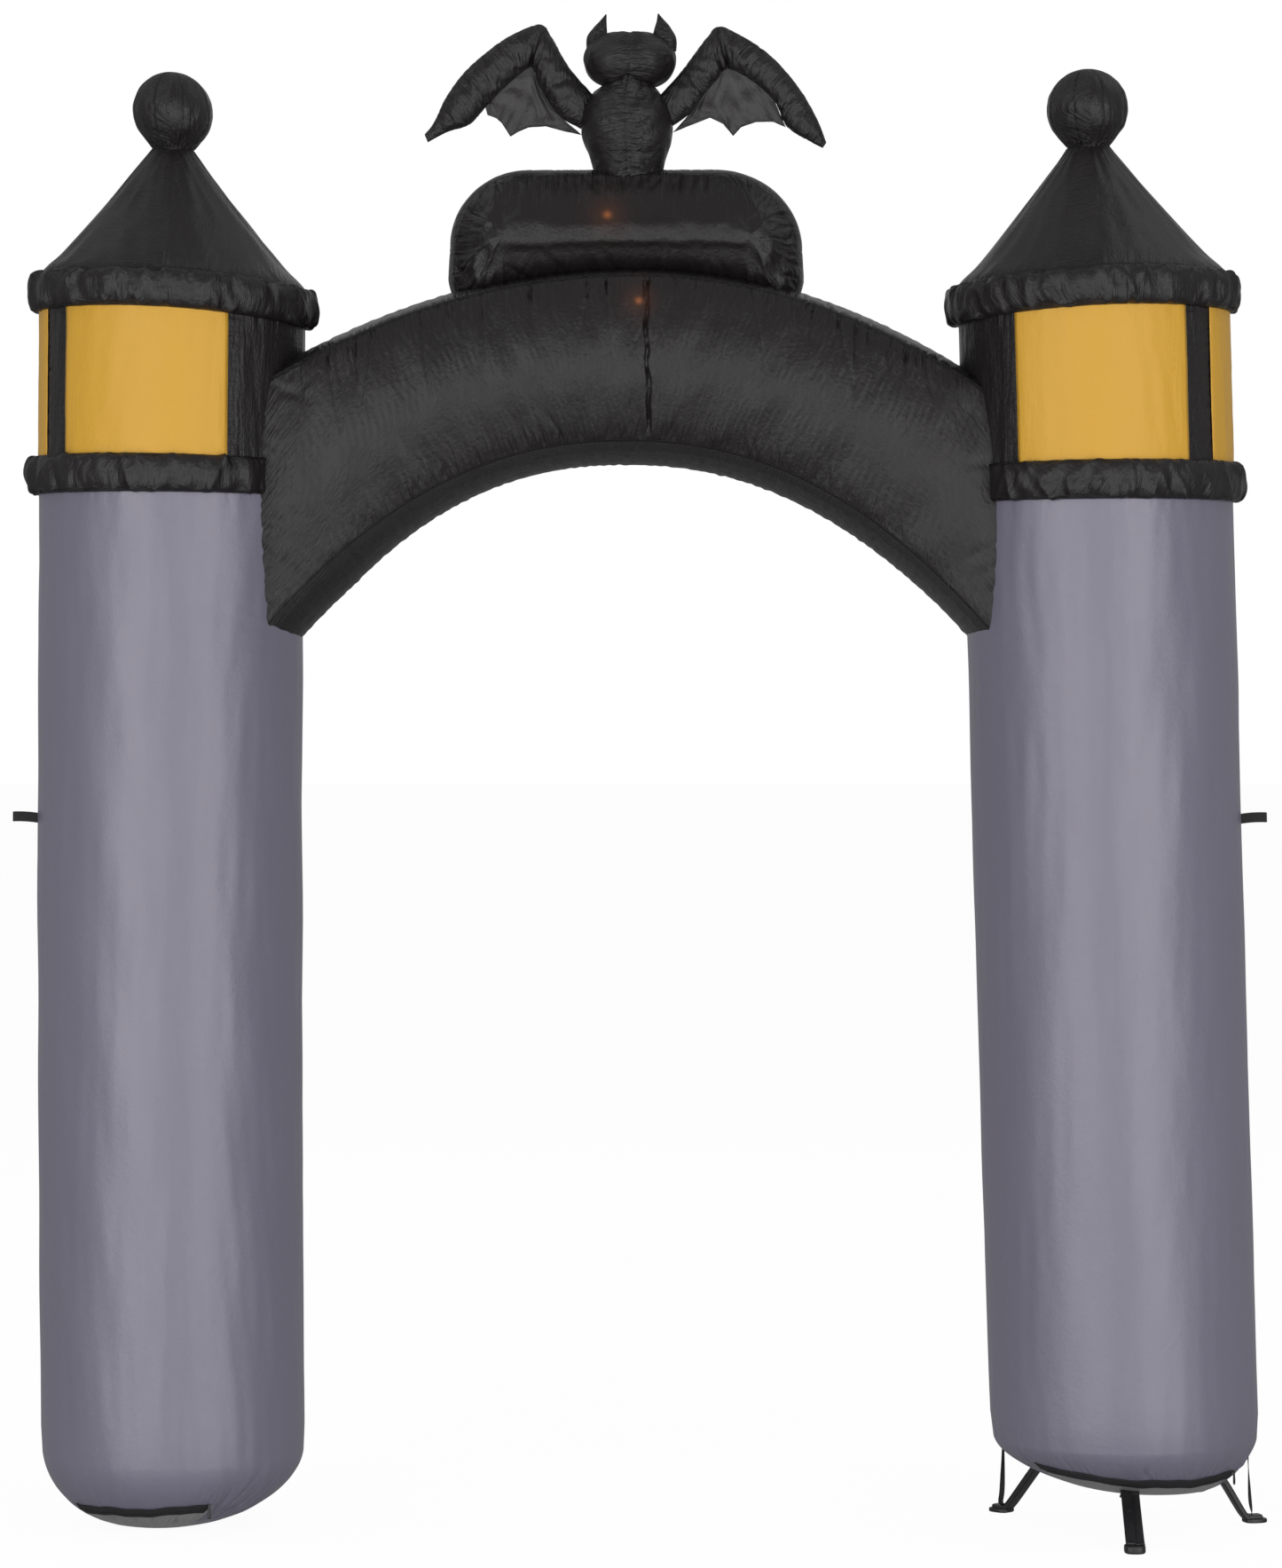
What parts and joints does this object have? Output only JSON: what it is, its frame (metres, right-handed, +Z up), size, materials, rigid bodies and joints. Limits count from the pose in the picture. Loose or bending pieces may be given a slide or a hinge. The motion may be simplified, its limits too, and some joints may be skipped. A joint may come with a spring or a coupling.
{
  "type": "inflatable arch",
  "caption": "Inflatable castle archway: filled cloth towers with gathered rings, windows and pointed roofs, joined by a puffed arch that carries a padded header and a bat.",
  "frame": {"origin": "on the floor, midway between the towers", "axes": "+X across from the tower on its own foot to the tower on the stand, -Y is the side with the zips, +Z up"},
  "size_m": [2.538, 0.6881, 3.041],
  "materials": {
    "grey_cloth": "satin woven nylon",
    "black_cloth": "satin woven nylon",
    "yellow_cloth": "satin woven nylon",
    "black_webbing": "woven webbing",
    "zip_tape": "zip tape with coil teeth",
    "black_plastic": "moulded"
  },
  "bodies": {
    "root": {"arch": "black_cloth", "bat_body": "black_cloth", "bat_head": "black_cloth", "bat_left_ear": "black_cloth", "bat_left_web": "black_cloth", "bat_left_wing": "black_cloth", "bat_right_ear": "black_cloth", "bat_right_web": "black_cloth", "bat_right_wing": "black_cloth", "header": "black_cloth", "left_ball": "black_cloth", "left_drum": "black_cloth", "left_lower_ring": "black_cloth", "left_roof": "black_cloth", "left_tether_tab": "black_webbing", "left_tower": "grey_cloth", "left_upper_ring": "black_cloth", "left_window_back": "yellow_cloth", "left_window_front": "yellow_cloth", "left_window_side": "yellow_cloth", "left_zip": "zip_tape", "left_zip_pull": "black_plastic", "near_foot_block": "black_plastic", "near_foot_leg": "black_plastic", "near_foot_strap": "black_webbing", "rear_foot_block": "black_plastic", "rear_foot_leg": "black_plastic", "rear_foot_strap": "black_webbing", "right_ball": "black_cloth", "right_drum": "black_cloth", "right_foot_block": "black_plastic", "right_foot_leg": "black_plastic", "right_foot_strap": "black_webbing", "right_lower_ring": "black_cloth", "right_roof": "black_cloth", "right_tether_tab": "black_webbing", "right_tower": "grey_cloth", "right_upper_ring": "black_cloth", "right_window_back": "yellow_cloth", "right_window_front": "yellow_cloth", "right_window_side": "yellow_cloth", "right_zip": "zip_tape", "right_zip_pull": "black_plastic"}
  },
  "joints": []
}
